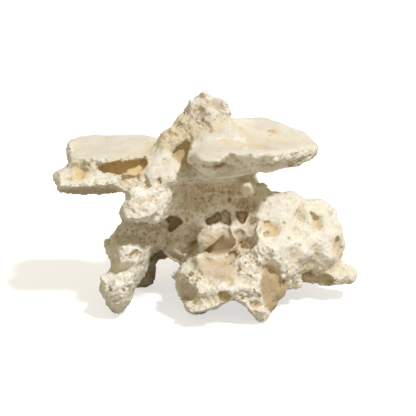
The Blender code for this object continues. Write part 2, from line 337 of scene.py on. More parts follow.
# Parts that are shifted in the plane of the photograph: x, y, right, up, reach
SHIFTED = [
    (186, 103, -2, 0, 10),
    (177, 114, 1, -1, 8),
    (191, 154, 3, 0, 12),
    (58, 160, 5, 0, 16),
    (56, 182, 2, 0, 12),
    (119, 200, 5, 1, 14),
    (115, 214, 3, 0, 9),
    (266, 180, -6, 0, 12),
    (261, 177, -3, 0, 9),
    (160, 259, -1, -2, 8),
    (174, 260, 0, 2, 7),
    (272, 170, 0, -2, 12),
    (292, 164, 0, -2, 13),
    (108, 236, 3, -1, 12),
    (272, 184, -1, -3, 13),
    (292, 194, 0, 1, 10),
    (298, 126, 0, -1, 14),
    (342, 230, -1, 0, 20),
]

# Lumps: x, y, width, height, depth, turn, rise
LUMPS = [
    # the peak and its left slope
    (224, 106, 10, 13, 20, 0, -4),
    (228, 112, 5, 6, 12, 0, -4),
    (205, 95, 8, 8, 12, 0, -2),
    (191, 102, 7, 8, 14, 0, -4),
    (181, 121, 8, 7, 14, 40, -4),
    (172, 130, 10, 8, 14, 40, -4),
    (165, 137, 8, 7, 14, 40, -4),
    # the lit nub of the shaded face
    (246, 188, 16, 18, 22, 0, 0),
    (244, 186, 9, 9, 24, 0, 4),
    (248, 187, 8, 10, 24, 0, 4),
    (242, 194, 5, 9, 20, 0, 3),
    # the lit upper left of the dish
    (210, 236, 30, 22, 16, 42, 2),
    # the curled lobe beside the dish
    (239, 236, 10, 13, 8, 0, -1),
    # the nub under the plate's crest
    (218, 170, 9, 4, 10, 0, 7),
    (223, 169, 4, 3, 9, 0, 7),
    # the left edge of the right lobe
    (259, 218, 8, 10, 8, 0, 0),
    # tufts of the plate's crest
    (243, 150, 12, 6, 8, 20, 0),
    (253, 156, 9, 6, 7, -20, 0),
    (265, 163, 5, 4, 5, 40, 1),
    (276, 160, 8, 5, 6, -10, 0),
    (288, 158, 9, 6, 7, 10, 0),
    (300, 155, 9, 6, 7, 15, 0),
    (222, 158, 6, 5, 5, 20, 0),
    # the right lobe's top
    (291, 199, 14, 6, 12, 0, -4),
    (303, 203, 10, 6, 12, 0, -4),
    (328, 211, 12, 8, 14, 0, -4),
    # the slope below the notch
    (262, 188, 12, 12, 14, 30, -2),
    # more tufts just under the crest
    (246, 161, 9, 6, 14, 10, 5),
    (257, 161, 7, 5, 12, -20, 4),
    (283, 161, 7, 5, 10, 10, 3),
    # ragged front edge of the left shelf
    (86, 161, 6, 5, 6, 20, 1),
    (93, 159, 5, 4, 6, -10, 1),
    (100, 161, 7, 5, 6, 10, 1),
    (108, 160, 5, 5, 6, 30, 1),
    (115, 159, 6, 4, 6, 0, 1),
    (122, 160, 5, 5, 6, -20, 1),
    (130, 158, 6, 5, 6, 15, 1),
    (138, 158, 6, 4, 6, -10, 1),
    (146, 157, 6, 5, 6, 10, 1),
    # left shelf
    (72, 143, 10, 6, 16, 0, -4),
    (70, 151, 10, 20, 16, 0, -4),
    (60, 178, 8, 11, 12, 0, -3),
    (64, 186, 12, 6, 12, 0, -3),
    # left leg: its wing and its foot
    (107, 244, 8, 12, 10, 0, -3),
    (103, 279, 7, 8, 10, 0, -3),
    (132, 283, 7, 5, 8, 0, 1),
    # front lobe
    (181, 291, 8, 15, 12, 0, -4),
    (175, 276, 7, 12, 10, 0, -3),
    (189, 306, 9, 8, 9, 0, -1),
    (261, 311, 9, 8, 8, 0, 0),
    # tufts of the front lobe
    (196, 284, 7, 5, 7, 20, 1),
    (200, 292, 7, 6, 7, -20, 1),
    (189, 280, 6, 5, 6, 10, 1),
    (188, 303, 9, 5, 8, 20, 0),
    (192, 272, 5, 4, 5, 0, 1),
    (198, 278, 6, 4, 5, 30, 1),
    (186, 275, 5, 4, 5, -20, 1),
    (246, 262, 4, 6, 4, 30, 1),
    (241, 268, 4, 5, 4, 0, 1),
    (253, 268, 5, 4, 4, 0, 1),
    (260, 262, 6, 5, 5, 0, 1),
    (283, 276, 5, 9, 5, 30, 1),
    (290, 284, 6, 8, 6, 30, 0),
]

# Ridges and lips: path, radius, rise
BEADS = [
    # the lip of the dish and the curled lobe beside it
    ([(231, 227), (232, 233), (235, 239), (237, 244), (233, 249), (230, 253), (225, 256), (217, 258),
      (207, 257)], 2.4, 1.4),
    ([(232, 232), (236, 229), (242, 229), (246, 232), (245, 238), (243, 243), (240, 247)], 1.5, 0.8),
    # the edge of the shaded face over the dark recess
    ([(176, 229), (171, 233), (167, 236), (161, 233), (161, 240), (163, 248), (167, 255),
      (171, 258)], 1.4, 0.4),
    # soft ridges high on the shaded face
    ([(206, 198), (206, 191), (209, 185), (214, 183), (222, 182), (231, 181)], 1.3, 0.6),
    ([(236, 207), (238, 200), (243, 196), (248, 197), (251, 203), (250, 209), (243, 210),
      (236, 207)], 1.3, 0.6),
    ([(231, 184), (228, 189), (227, 195), (229, 201), (232, 206)], 1.2, 0.6),
    ([(186, 181), (191, 184), (197, 187), (203, 193), (206, 200)], 1.2, 0.5),
    ([(172, 210), (180, 209), (190, 211), (199, 214), (205, 219)], 1.2, 0.4),
    ([(232, 206), (226, 209), (219, 210), (212, 212)], 1.2, 0.5),
    ([(200, 229), (208, 226), (216, 224), (224, 225), (231, 227)], 1.4, 0.6),
    # the saucer-like layers under the plate
    ([(189, 161), (191, 166), (195, 170), (201, 174), (208, 177), (216, 178), (226, 177), (238, 175),
      (252, 173)], 1.5, 1.1),
    ([(193, 160), (198, 164), (204, 168), (211, 170), (216, 172)], 1.2, 0.9),
    ([(226, 174), (238, 171), (250, 168), (262, 166)], 1.2, 0.6),
    ([(232, 168), (244, 165), (256, 165)], 1.1, 0.5),
    ([(197, 176), (206, 181), (216, 183), (230, 182), (244, 179)], 1.1, 0.4),
]

# Grooves: path, radius, sink
GROOVES = [
    ([(208, 124), (210, 127), (212, 130), (211, 133)], 0.8, 0.4),
    ([(228, 188), (229, 192), (230, 199), (231, 203)], 0.8, 0.2),
    ([(190, 244), (194, 242), (196, 240)], 0.9, 0.4),
    ([(214, 166), (219, 166), (226, 164)], 1.4, 0.8),
    ([(110, 290), (113, 294), (116, 298)], 1.0, 0.4),
    ([(118, 283), (122, 288), (124, 294)], 0.9, 0.4),
    ([(326, 268), (329, 266), (333, 264)], 1.1, 0.6),
    ([(157, 156), (160, 150), (166, 145)], 1.5, 0.6),
    ([(222, 278), (228, 280), (234, 279)], 1.2, 0.5),
]

# Dark lines round the cavities of the shaded face, which are painted shade at their rims, and cracks
CRACKS_AND_RIM_SHADE = [
    [(206, 221), (208, 219), (212, 218), (214, 216), (216, 213), (219, 213), (221, 216), (221, 219),
     (218, 221), (214, 223), (211, 225), (207, 224), (206, 221)],
    [(221, 215), (223, 212), (225, 210), (227, 212), (230, 215), (229, 219), (231, 223), (229, 226)],
    [(236, 212), (240, 213), (245, 212), (248, 213), (246, 217), (245, 221), (242, 224), (240, 222),
     (238, 217), (236, 212)],
    [(208, 124), (210, 127), (212, 130), (211, 133)],
    [(190, 244), (194, 242), (196, 240)],
]

# Small pits: x, y, width, height, depth
PITS = [
    (184, 185, 3, 2.5, 6), (174, 195, 3, 2.5, 6), (185, 195, 3, 2, 5), (189, 204, 2.5, 2, 5),
    (196, 204, 3, 2.5, 6), (200, 203, 2, 2, 4), (204, 200, 2.5, 3.5, 6), (203, 185, 2, 2, 4),
    (183, 192, 2, 2, 4), (187, 198, 2, 2, 4), (195, 199, 3, 2.5, 6), (229, 192, 2.5, 3.5, 6),
    (229, 199, 2.5, 3.5, 6), (231, 201, 2, 3, 4), (241, 242, 3, 2.5, 6), (235, 233, 2, 2, 4),
    (168, 204, 3, 2.5, 6), (198, 252, 2.5, 2, 5), (182, 253, 3, 3, 6), (176, 240, 2, 2, 4),
    (172, 248, 2, 2, 4), (186, 262, 2, 2, 4), (240.5, 128, 2.5, 2, 5), (264, 200, 3, 3, 4),
    (270, 204, 2, 3, 4), (284, 223, 3, 3, 4), (289, 238, 3, 3, 5), (281, 260, 3, 3, 5),
    (300, 245, 3, 2.5, 4), (136, 256, 3, 2, 5), (140, 256, 2.5, 3, 5), (132, 255, 3, 2, 4),
    (150, 200, 3, 2, 4), (143, 210, 2.5, 2, 4), (128, 206, 2, 2, 4), (222, 100, 2, 2, 4),
    (214, 104, 2, 2, 4), (208, 102, 2, 2, 3), (219, 108, 2.5, 2, 4), (250, 266, 3, 2.5, 5),
    (256, 272, 3, 2.5, 5), (262, 256, 3, 3, 6), (247, 293, 3, 3, 6), (194, 275, 3, 2, 4),
    (110, 290, 3, 3, 5), (118, 300, 2.5, 3, 5), (124, 290, 2.5, 3, 5), (114, 282, 2, 2, 4),
    (287, 272, 3, 4, 6), (284, 281, 3, 4, 6), (96, 180, 3, 2, 4), (108, 183, 3, 2, 4),
    (120, 182, 3, 2, 4), (84, 184, 2.5, 2, 4),
]

# Cavities: outline, depth, share of the outline left at the floor, and now and then the mouth
POCKETS = [
    # the deep cavity at the left of the shaded face, and the recess below it
    ([(165, 216), (171, 215), (177, 216), (181, 219), (183, 221), (182, 224), (178, 227), (175, 230),
      (173, 232), (169, 233), (168, 228), (169, 223), (166, 219)], 18, 0.7),
    ([(151, 224), (158, 219), (165, 219), (168, 225), (166, 231), (160, 232), (155, 229)], 3, 0.6),
    ([(150, 250), (154, 244), (160, 243), (163, 250), (167, 257), (160, 261), (152, 264),
      (149, 258)], 16, 0.8),
    # the red-brown cavity in the middle, in three parts
    ([(206, 221), (208, 219), (212, 218), (214, 216), (216, 213), (219, 213), (221, 216), (222, 219),
      (218, 221), (214, 223), (211, 225), (207, 224)], 3, 0.75),
    ([(222, 214), (225, 210), (227, 212), (230, 215), (229, 219), (231, 223), (229, 226), (224, 224),
      (221, 221)], 1.8, 0.6),
    # the three-cornered cavity
    ([(236, 212), (240, 213), (245, 212), (248, 213), (246, 217), (245, 221), (242, 224), (240, 222),
      (238, 217)], 3, 0.7),
    # small hollows below the dish
    ([(229, 254), (231, 251), (234, 251), (237, 255), (234, 258), (231, 257)], 4, 0.5),
    ([(228, 260), (231, 259), (233, 260), (231, 262)], 3, 0.4),
    # the tan hollow beside the plate
    ([(173, 153), (177, 147), (183, 144), (190, 142), (194, 145), (193, 152), (190, 157), (185, 162),
      (181, 164), (178, 160), (174, 157)], 1.5, 0.7),
    # hollows of the peak
    ([(193, 107), (197, 107), (202, 107), (204, 110), (200, 112), (196, 112)], 1.5, 0.5),
    ([(184, 129), (188, 126), (192, 124), (195, 123), (196, 127), (191, 130), (186, 131)], 1.2, 0.4),
    ([(182, 118), (184, 115), (187, 117), (185, 120)], 1, 0.4),
    ([(176, 141), (179, 137), (182, 140), (180, 144)], 1, 0.4),
    # shallow dents of the plate's top
    ([(268, 131), (274, 129), (280, 131), (278, 134), (270, 133)], 1.5, 0.4),
    ([(256, 146), (262, 145), (269, 146), (265, 149), (258, 148)], 1.5, 0.4),
    # the small hole of the buttress
    ([(157, 181), (158, 178), (160, 177), (162, 180), (161, 183), (158, 184)], 4, 0.6),
    # the shaded facet at the buttress's left
    ([(143, 170), (147, 176), (151, 186), (146, 189), (140, 184), (134, 184), (138, 177)], 4, 0.5),
    # the square hollow beside the shelf's slot
    ([(74, 167), (80, 167), (88, 169), (85, 173), (83, 179), (78, 180), (74, 178)], 2.5, 0.6),
    # hollows of the right lobe
    ([(263, 221), (270, 221), (276, 226), (275, 230), (270, 228), (266, 229), (264, 226)], 1.3, 0.5),
    ([(262, 236), (267, 231), (272, 229), (276, 233), (275, 236), (266, 237)], 1.3, 0.5),
    ([(292, 218), (296, 212), (300, 206), (304, 205), (303, 209), (298, 214), (294, 218)], 1.6, 0.3),
    ([(309, 210), (315, 214), (319, 218), (321, 222), (319, 228), (322, 233), (317, 229), (313, 221),
      (310, 215)], 1.6, 0.3),
    ([(332, 234), (336, 235), (341, 240), (342, 250), (338, 256), (334, 250), (331, 242)], 2.5, 0.5),
    # the shadowed recess under the right lobe
    ([(300, 266), (305, 264), (309, 268), (312, 273), (315, 279), (320, 275), (325, 273), (330, 275),
      (334, 281), (330, 287), (318, 288), (306, 290), (302, 282)], 9, 0.8),
    # hollows of the front lobe
    ([(218, 293), (223, 291), (228, 292), (231, 297), (228, 301), (222, 305), (218, 301)], 6, 0.6),
    ([(251, 303), (256, 302), (262, 305), (257, 309), (253, 308)], 3, 0.5),
    # hollows of the left leg
    ([(130, 253), (137, 250), (144, 251), (145, 257), (137, 260), (130, 257)], 4, 0.6),
    # the gap between the plate and the right lobe
    ([(253, 178.5), (257, 176), (263, 173.5), (268, 171.5), (276, 170.5), (284, 174), (276, 181),
      (268, 183), (261, 181)], 40, 0.95, 30),
]

# Outlines that more than one stain uses: the facet of the right foot, the shaded part of the dish
# and the smooth patch below it
FOOT_FACET = [(264, 264), (272, 266), (279, 275), (286, 287), (292, 294), (282, 306), (273, 314),
              (266, 306), (262, 297), (261, 282)]
DISH_SHADE = [(225, 229), (231, 231), (236, 240), (234, 249), (227, 254), (216, 257), (206, 255),
              (202, 251), (212, 246), (221, 238)]
PALE_PATCH = [(193, 262), (215, 260), (236, 266), (232, 280), (215, 280), (197, 272)]

# Colour that is not relief, laid on by patches of each kind: strength, edge, outline
STAINS = {
    # warm tan of the facet, the hollows and the dents
    "tan": [
        (1, 1.5, FOOT_FACET),
        (0.3, 4, [(74, 158), (98, 160), (102, 172), (88, 178), (76, 176)]),
        (0.95, 2, [(172, 153), (177, 147), (183, 144), (190, 142), (195, 145), (193, 153), (190, 158),
            (185, 163), (181, 165), (177, 161), (173, 157)]),
        (0.7, 2, [(193, 106), (202, 106), (205, 110), (200, 113), (195, 112)]),
        (0.7, 2, [(183, 129), (188, 125), (195, 122), (197, 127), (191, 131), (185, 132)]),
        (0.6, 2, [(181, 118), (184, 114), (188, 117), (185, 121)]),
        (0.5, 2, [(175, 141), (179, 136), (183, 140), (180, 145)]),
        (0.4, 3, [(161, 142), (166, 132), (172, 133), (170, 141), (163, 148)]),
        (0.5, 1, [(267, 131), (274, 128), (281, 131), (278, 134), (269, 134)]),
        (0.6, 1, [(255, 146), (262, 144), (270, 146), (265, 149), (257, 149)]),
        (0.6, 1, [(234, 141), (239, 140), (241, 142), (236, 143)]),
        (0.75, 1.5, [(262, 221), (270, 220), (277, 226), (276, 235), (266, 238), (262, 236), (268, 230),
            (264, 227)]),
        (0.45, 2, [(292, 218), (296, 212), (300, 206), (304, 205), (303, 209), (298, 214), (294, 218)]),
        (0.45, 2, [(309, 210), (315, 214), (320, 220), (319, 228), (317, 229), (313, 221), (310, 215)]),
        (0.5, 2, [(332, 233), (340, 239), (343, 250), (338, 257), (333, 250)]),
        (0.5, 2, [(300, 266), (310, 266), (316, 276), (330, 274), (334, 284), (318, 290), (302, 284)]),
        (0.7, 1, [(221, 277), (228, 276), (235, 279), (230, 282), (223, 281)]),
        (0.8, 1, [(250, 302), (258, 301), (263, 305), (256, 309), (251, 307)]),
        (0.7, 1, [(218, 292), (228, 291), (232, 298), (224, 305), (217, 301)]),
        (0.7, 1, [(156, 178), (160, 176), (163, 181), (160, 185), (157, 183)]),
        (0.6, 2, [(205, 258), (222, 259), (236, 256), (236, 262), (222, 266), (210, 263)]),
        (0.4, 4, [(205, 184), (236, 184), (250, 200), (235, 206), (208, 206)]),
        (0.55, 5, [(160, 138), (178, 118), (192, 116), (198, 132), (188, 146), (166, 152)]),
        (0.5, 3, [(236, 178), (252, 176), (253, 200), (238, 200)]),
    ],
    # deeper yellow-brown of the shelf's slot and the square hollow, paler than the tan: partly the
    # stone's own and partly painted light for the light bounced into them
    "ochre_and_painted_light": [
        (1, 1.5, [(100, 166), (104, 163), (112, 160), (134, 158), (148, 159), (149, 163), (144, 169),
            (138, 177), (118, 176), (103, 171)]),
        (0.7, 1.5, [(73, 166), (80, 166), (88, 168), (86, 173), (84, 180), (78, 181), (73, 179)]),
    ],
    # painted shade: dull brown laid where shade falls, in recesses and cavities, under the shelf, on the
    # dish, the facet, the smooth patch and parts of the slot and the leg
    "painted_shade": [
        (0.4, 4, [(138, 226), (164, 218), (168, 232), (160, 244), (166, 256), (148, 256)]),
        (0.1, 4, [(168, 230), (196, 228), (199, 250), (190, 260), (170, 256)]),
        (0.45, 2, [(172, 149), (178, 144), (185, 144), (184, 156), (179, 162), (174, 156)]),
        (0.35, 2, DISH_SHADE),
        (0.4, 2, [(232, 229), (244, 228), (253, 236), (252, 248), (242, 250), (238, 244)]),
        (0.7, 1.5, [(236, 207), (239, 199), (244, 196), (249, 198), (251, 203), (249, 209),
            (243, 210)]),
        (0.45, 4, PALE_PATCH),
        (0.35, 3, [(176, 282), (190, 282), (199, 290), (198, 299), (184, 300)]),
        (0.25, 4, [(118, 226), (150, 226), (150, 240), (135, 243), (112, 244), (104, 240)]),
        (0.2, 3, [(198, 234), (208, 227), (222, 226), (222, 234), (200, 248)]),
        (0.55, 2, [(124, 172), (128, 166), (140, 163), (149, 160), (147, 168), (140, 177), (124, 177)]),
        (0.9, 3, [(54, 190), (72, 188), (96, 187), (118, 189), (120, 196), (80, 200), (58, 198)]),
        (0.75, 2, FOOT_FACET),
        (0.8, 1.5, [(165, 216), (177, 216), (183, 221), (178, 228), (173, 233), (168, 230)]),
        (1, 2, [(150, 250), (154, 244), (160, 243), (165, 250), (168, 258), (160, 262), (150, 264)]),
        (0.8, 3, [(136, 266), (152, 264), (156, 272), (154, 284), (138, 290)]),
    ],
    # specks, spots and light seams
    "speckled": [
        (1, 4, [(110, 226), (164, 220), (166, 236), (160, 250), (140, 250), (136, 240), (112, 240)]),
        (1, 5, [(178, 172), (200, 182), (236, 184), (254, 196), (252, 222), (232, 228), (200, 232),
            (196, 262), (168, 262), (162, 236), (176, 212), (166, 200)]),
        (0.5, 5, [(205, 92), (228, 102), (236, 118), (200, 128), (176, 140), (180, 118)]),
        (0.4, 5, [(120, 196), (165, 190), (158, 216), (122, 220)]),
    ],
    # red-brown of the cavities, the peak and the split under the plate's crest, and painted shade on the
    # dish's shaded part
    "rust_and_painted_shade": [
        (0.4, 1, [(205, 221), (212, 217), (216, 212), (220, 212), (222, 218), (215, 223), (208, 226)]),
        (0.35, 1, [(221, 213), (225, 210), (231, 215), (232, 225), (222, 224)]),
        (0.2, 1, [(235, 211), (249, 211), (246, 221), (242, 225), (238, 218)]),
        (1, 1, [(213, 163), (220, 163), (227, 162), (226, 166), (219, 168), (213, 167)]),
        (0.5, 2, [(204, 99), (216, 98), (224, 103), (220, 111), (207, 106)]),
        (0.7, 1, [(188, 244), (194, 240), (198, 241), (194, 246), (190, 247)]),
        (0.15, 2, DISH_SHADE),
        (0.5, 2, [(206, 122), (211, 123), (214, 132), (209, 134)]),
        (0.35, 3, [(178, 183), (206, 183), (206, 208), (184, 208)]),
        (0.4, 2, [(228, 251), (236, 250), (238, 258), (230, 263)]),
    ],
    # pinkish tint of the dish, the face round it and the smooth patch, partly the stone's own and partly
    # painted shade
    "pink_and_painted_shade": [
        (1, 4, [(200, 226), (226, 226), (238, 214), (252, 196), (254, 225), (244, 248), (228, 258),
            (203, 257)]),
        (1, 4, PALE_PATCH),
        (0.5, 5, [(165, 214), (200, 210), (240, 208), (240, 228), (205, 232), (180, 262), (165, 258)]),
    ],
    # chalky white, partly the stone's own and partly painted light that brightens the fronts, the shaded
    # face and the plate's underside
    "chalk_and_painted_light": [
        (0.7, 5, [(224, 117), (238, 121), (250, 146), (238, 149), (226, 134)]),
        (1, 3, [(190, 163), (215, 168), (262, 162), (315, 156), (300, 168), (255, 178), (222, 182),
            (200, 178)]),
        (1, 5, [(178, 184), (200, 182), (236, 184), (252, 196), (254, 222), (240, 231), (205, 230),
            (180, 230)]),
        (0.3, 6, [(268, 210), (300, 208), (330, 214), (340, 236), (352, 274), (336, 284), (330, 262),
            (300, 262), (284, 275), (270, 255), (264, 240)]),
        (0.8, 4, [(140, 162), (168, 150), (172, 172), (160, 188), (142, 178)]),
        (0.9, 2, [(240, 156), (262, 156), (288, 156), (288, 163), (262, 165), (241, 164)]),
        (1, 5, [(196, 282), (226, 284), (240, 284), (262, 286), (266, 318), (240, 300), (200, 306)]),
        (1, 5, [(124, 190), (150, 184), (166, 190), (158, 214), (142, 222), (122, 218)]),
        (1, 4, [(116, 242), (136, 240), (138, 262), (120, 264)]),
        (0.8, 4, [(100, 276), (130, 272), (126, 300), (112, 310)]),
        (0.8, 3, [(60, 182), (90, 180), (118, 178), (120, 188), (90, 188), (62, 190)]),
        (1, 2, [(241, 182), (250, 182), (251, 192), (243, 197)]),
        (1, 1, [(214, 168), (223, 167), (224, 171), (215, 172)]),
    ],
}


def smooth_step(value, low, high):
    t = np.clip((value - low) / (high - low), 0, 1)
    return t * t * (3 - 2 * t)


def start_rock(node):
    """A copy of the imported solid, fused and rid of its facets. What softening takes is given back."""
    rock = bpy.data.objects.new("rock", node.data.copy())
    bpy.context.scene.collection.objects.link(rock)
    rock.data.materials.clear()
    only(rock)
    bpy.ops.object.mode_set(mode="EDIT")
    bpy.ops.mesh.select_all(action="SELECT")
    bpy.ops.mesh.remove_doubles(threshold=0.00001)
    bpy.ops.object.mode_set(mode="OBJECT")
    fuse(rock, BASE_VOXEL)
    soften(rock, 8)
    finish_with(rock, "DISPLACE", strength=GIVEN_BACK, mid_level=0)
    return rock


def tree_of(obj):
    places = [vertex.co.copy() for vertex in obj.data.vertices]
    return BVHTree.FromPolygons(places, [tuple(face.vertices) for face in obj.data.polygons])


# The regions of the skin


class Skin:
    """The rock's vertices as arrays: places, normals and where the photograph shows them."""

    def __init__(self, obj):
        mesh = obj.data
        count = len(mesh.vertices)
        self.co = np.empty(count * 3)
        self.normal = np.empty(count * 3)
        mesh.vertices.foreach_get("co", self.co)
        mesh.vertices.foreach_get("normal", self.normal)
        self.co = self.co.reshape(-1, 3)
        self.normal = self.normal.reshape(-1, 3)
        seen = self.co - np.array(EYE)
        self.depth = seen @ np.array(AWAY)
        shrink = VIEW_DISTANCE / self.depth / MM
        x = PHOTO_MIDDLE + seen @ np.array(RIGHT) * shrink
        y = PHOTO_MIDDLE - seen @ np.array(UP) * shrink
        self.photo = np.stack([x, y], axis=1)
        self.facing = -(self.normal @ np.array(AWAY))

    def put_back(self, obj):
        obj.data.vertices.foreach_set("co", self.co.ravel())
        obj.data.update()


def distance_to_path(points, path):
    """How far each point lies from the path, in pixels."""
    nearest = np.full(len(points), 1e9)
    for (ax, ay), (bx, by) in zip(path, path[1:]):
        start, along = np.array((ax, ay), float), np.array((bx - ax, by - ay), float)
        share = np.clip(((points - start) @ along) / max(along @ along, 1e-9), 0, 1)
        nearest = np.minimum(nearest, np.linalg.norm(points - start - share[:, None] * along, axis=1))
    return nearest


def inside_outline(points, outline):
    """How far inside the outline each point lies, in pixels, and less than zero outside."""
    inside = np.zeros(len(points), bool)
    closed = list(outline) + [outline[0]]
    for (ax, ay), (bx, by) in zip(closed, closed[1:]):
        crosses = (ay > points[:, 1]) != (by > points[:, 1])
        if ay != by:
            inside ^= crosses & (points[:, 0] < ax + (points[:, 1] - ay) * (bx - ax) / (by - ay))
    away = distance_to_path(points, closed)
    return np.where(inside, away, -away)


def patch_weight(skin, outline, edge, window=PATCH_DEPTH):
    """1 inside an outline of the photograph on the rock's front, 0 outside, soft over its edge."""
    cx, cy = middle(outline)
    depth = (spot(cx, cy) - EYE).dot(AWAY)
    weight = np.zeros(len(skin.co))
    near = (skin.facing > LEAST_FACING) & (np.abs(skin.depth - depth) < window * MM)
    weight[near] = smooth_step(inside_outline(skin.photo[near], outline), -edge, edge)
    return weight


# How calm the flat tops are, and the patches of the front that are calmer than the rest: outline,
# edge, calmness
CALM_OF_TOPS = 0.85
CALM = [
    # the shaded face
    ([(180, 168), (200, 178), (235, 182), (250, 200), (250, 225), (240, 250), (222, 258), (195, 262),
      (165, 255), (160, 235), (172, 215), (165, 200), (172, 185)], 4, 0.3),
    # the plate's underside and its rounded left end
    ([(190, 163), (215, 170), (262, 160), (315, 155), (300, 168), (255, 178), (222, 182),
      (205, 178)], 3, 0.7),
    ([(190, 152), (205, 140), (232, 140), (226, 156), (212, 164), (198, 163)], 3, 0.75),
    # where the peak runs into the plate
    ([(205, 116), (235, 118), (268, 124), (262, 146), (205, 146)], 4, 0.6),
    # the facet of the right foot, the nub, the pale patch, the dish's shaded part
    ([(266, 264), (275, 268), (292, 290), (272, 312), (262, 300), (263, 282)], 2, 0.4),
    ([(239, 180), (252, 180), (252, 194), (243, 199)], 2, 0.7),
    ([(193, 262), (215, 262), (235, 268), (232, 278), (215, 278), (197, 272)], 3, 0.6),
    ([(206, 252), (222, 234), (234, 234), (234, 248), (226, 254), (214, 257)], 3, 0.85),
    # the tan hollow, the slot, the square hollow
    ([(172, 153), (178, 146), (190, 142), (194, 150), (188, 161), (180, 165)], 2, 0.6),
    ([(104, 166), (112, 162), (134, 161), (146, 162), (144, 169), (139, 175), (118, 175),
      (106, 170)], 2, 0.7),
    ([(73, 166), (80, 166), (88, 168), (86, 173), (84, 180), (78, 181), (73, 179)], 2, 0.7),
    # the right lobe and its spur
    ([(258, 185), (285, 196), (318, 202), (334, 212), (344, 240), (340, 258), (355, 270), (352, 280),
      (335, 276), (318, 268), (300, 262), (285, 262), (272, 248), (262, 240), (256, 215)], 4, 0.35),
    # the shaded part of the left leg
    ([(118, 226), (150, 226), (150, 240), (135, 244), (112, 238)], 4, 0.4),
    ([(114, 264), (134, 264), (134, 272), (114, 272)], 3, 0.5),
]


# Where the tops of the shelf and of the plate lie on the rock itself, each with a soft edge
LEVEL = (0.55, 0.85)
PLATE_STARTS = (-22, -6)
PLATE_BOTTOM = (155, 162)
PEAK_HEIGHT = 210
BELOW_PEAK = (10, 18)
SHELF_STARTS = (30, 40)
SHELF_BOTTOM = (140, 148)


def find_tops(skin):
    """1 on the tops of the shelf and of the plate, 0 elsewhere."""
    x, _, z = (skin.co / MM).T
    plate = smooth_step(x, *PLATE_STARTS) * smooth_step(z, *PLATE_BOTTOM)
    plate = plate * smooth_step(PEAK_HEIGHT - z, *BELOW_PEAK)
    shelf = smooth_step(-x, *SHELF_STARTS) * smooth_step(z, *SHELF_BOTTOM)
    return smooth_step(skin.normal[:, 2], *LEVEL) * np.maximum(plate, shelf)


def find_calm(skin):
    """How calm the skin is: near 1 on the flat tops and on the smooth patches."""
    calm = CALM_OF_TOPS * find_tops(skin)
    for outline, edge, most in CALM:
        calm = np.maximum(calm, most * patch_weight(skin, outline, edge))
    return calm


def give_group(obj, name, weights, steps=20):
    """Writes a vertex group, with the weights rounded to so many steps."""
    group = obj.vertex_groups.new(name=name)
    levels = np.round(weights * steps).astype(int)
    for level in range(1, steps + 1):
        chosen = np.nonzero(levels == level)[0]
        if len(chosen):
            group.add(chosen.tolist(), level / steps, "REPLACE")


def texture(name, kind, grain, **values):
    """A pattern with grains of so many millimetres."""
    pattern = bpy.data.textures.new(name, kind)
    pattern.noise_scale = grain * MM
    for key, value in values.items():
        setattr(pattern, key, value)
    return pattern


def add_streak_frame(rise, stretch):
    """An empty whose X follows streaks that rise so many degrees to the photograph's right."""
    bpy.ops.object.empty_add()
    frame_of_streaks = bpy.context.object
    frame_of_streaks.matrix_world = view_frame(Vector(), rise) @ Matrix.Diagonal((stretch, 1, 1, 1))
    bpy.context.view_layer.update()
    return frame_of_streaks


def roughen(obj, pattern, depth, group, streaks=None):
    """Moves the skin of a group in and out by a pattern, which may follow the streaks of a frame."""
    finish_with(
        obj, "DISPLACE", texture=pattern, strength=depth * MM, mid_level=0.5, vertex_group=group,
        texture_coords="OBJECT" if streaks else "LOCAL", texture_coords_object=streaks,
    )


def pull(obj, patches):
    """Moves patches of the front along the view: in by a depth, or out where it is below zero."""
    skin = Skin(obj)
    for outline, depth, edge in patches:
        weight = patch_weight(skin, outline, edge, PULLED_DEPTH)
        skin.co += np.array(AWAY) * (weight * depth * MM)[:, None]
    skin.put_back(obj)


def shift(obj, places):
    """Moves what the photograph shows around some places to the right and up."""
    skin = Skin(obj)
    for x, y, right, up, reach in places:
        share = 1 - smooth_step(np.linalg.norm(skin.photo - (x, y), axis=1), 0.2 * reach, reach)
        skin.co += share[:, None] * np.array(RIGHT * right * MM + UP * up * MM)
    skin.put_back(obj)


def cut_away(obj, cutters):
    """Cuts the shapes out of the object and deletes them."""
    cutter = join_all(cutters, "cavities")
    fuse(cutter, FINE_VOXEL)
    finish_with(obj, "BOOLEAN", operation="DIFFERENCE", object=cutter)
    remove(cutter)
    fuse(obj, FINE_VOXEL)
    soften(obj, 1)


def keep_largest(obj):
    """Lets go of any crumb that hangs free beside the rock."""
    only(obj)
    bpy.ops.object.mode_set(mode="EDIT")
    bpy.ops.mesh.select_all(action="SELECT")
    bpy.ops.mesh.separate(type="LOOSE")
    bpy.ops.object.mode_set(mode="OBJECT")
    parts = sorted(bpy.context.selected_objects, key=lambda part: len(part.data.vertices))
    for part in parts[:-1]:
        remove(part)
    parts[-1].name = "rock"
    return parts[-1]


def thin_out(obj, most, group):
    """Takes away triangles, most of them where the group is strong, until about so many are left."""
    count = sum(len(face.vertices) - 2 for face in obj.data.polygons)
    finish_with(
        obj, "DECIMATE", ratio=min(1, most / count), use_collapse_triangulate=True,
        vertex_group=group, vertex_group_factor=0.0001,
    )


def stand_on_floor(obj):
    """Brings up to the floor what roughening has pushed below it."""
    skin = Skin(obj)
    skin.co[:, 2] = np.maximum(skin.co[:, 2], 0)
    skin.put_back(obj)


